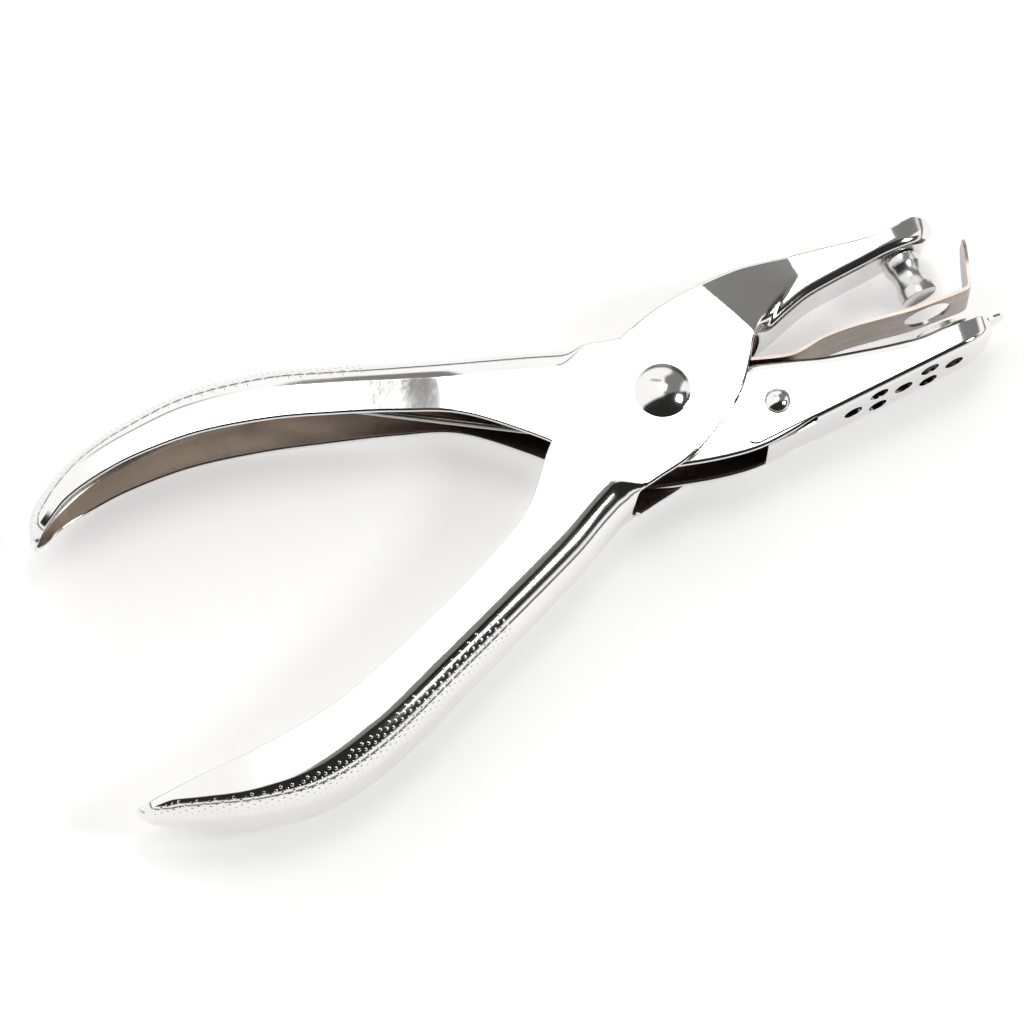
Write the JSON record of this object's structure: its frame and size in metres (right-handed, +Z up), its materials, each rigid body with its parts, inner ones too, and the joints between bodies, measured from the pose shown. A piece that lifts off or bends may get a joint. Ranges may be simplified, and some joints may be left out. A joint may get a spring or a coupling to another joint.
{
  "type": "single hole punch plier",
  "caption": "Hand-held plier punch with bright pressed-steel channel handles, one round punch over a die, a spring stripper strip and a swing-down perforated chip tray.",
  "frame": {"origin": "on the pivot axis, in the plane the tool rests on when it lies on its side: the centre of the flat end of the pivot rivet", "axes": "+X towards the jaws, +Y towards the handle that carries the lower jaw, +Z up along the pivot axis"},
  "size_m": [0.1561, 0.0679, 0.017],
  "materials": {
    "plated_steel": "bright nickel plate on pressed sheet steel",
    "plated_rivet": "bright nickel plate, domed heads",
    "plain_steel": "turned, oiled",
    "spring_steel": "bright drawn spring steel",
    "tool_steel": "hardened, turned and bright plated"
  },
  "bodies": {
    "lower_jaw_lever": {"rear_lever": "plated_steel", "die_bush": "tool_steel", "tray_rivet": "plated_rivet", "return_spring": "spring_steel"},
    "upper_jaw_lever": {"front_lever": "plated_steel", "pivot_rivet": "plated_rivet", "pivot_spacer": "plain_steel", "punch_pin": "tool_steel"},
    "stripper": {"stripper_strip": "spring_steel"},
    "tray": {"chip_tray": "plated_steel"}
  },
  "joints": [
    {"name": "lever_pivot", "type": "hinge", "parent": "lower_jaw_lever", "child": "upper_jaw_lever", "pos_m": [0, 0, 0.0085], "axis": [0, 0, -1], "range_deg": [0, 10], "stiffness_Nm_per_rad": 0.8, "springref_deg": -8.59, "deforming": ["return_spring"]},
    {"name": "stripper_flex", "type": "hinge", "parent": "lower_jaw_lever", "child": "stripper", "pos_m": [0.0206, -0.0033, 0.0085], "axis": [0, 0, -1], "range_deg": [0, 5], "stiffness_Nm_per_rad": 0.3, "springref_deg": -2.86},
    {"name": "tray_hinge", "type": "hinge", "parent": "lower_jaw_lever", "child": "tray", "pos_m": [0.0152, -0.0093, 0.0085], "axis": [0, 0, -1], "range_deg": [0, 38]}
  ]
}
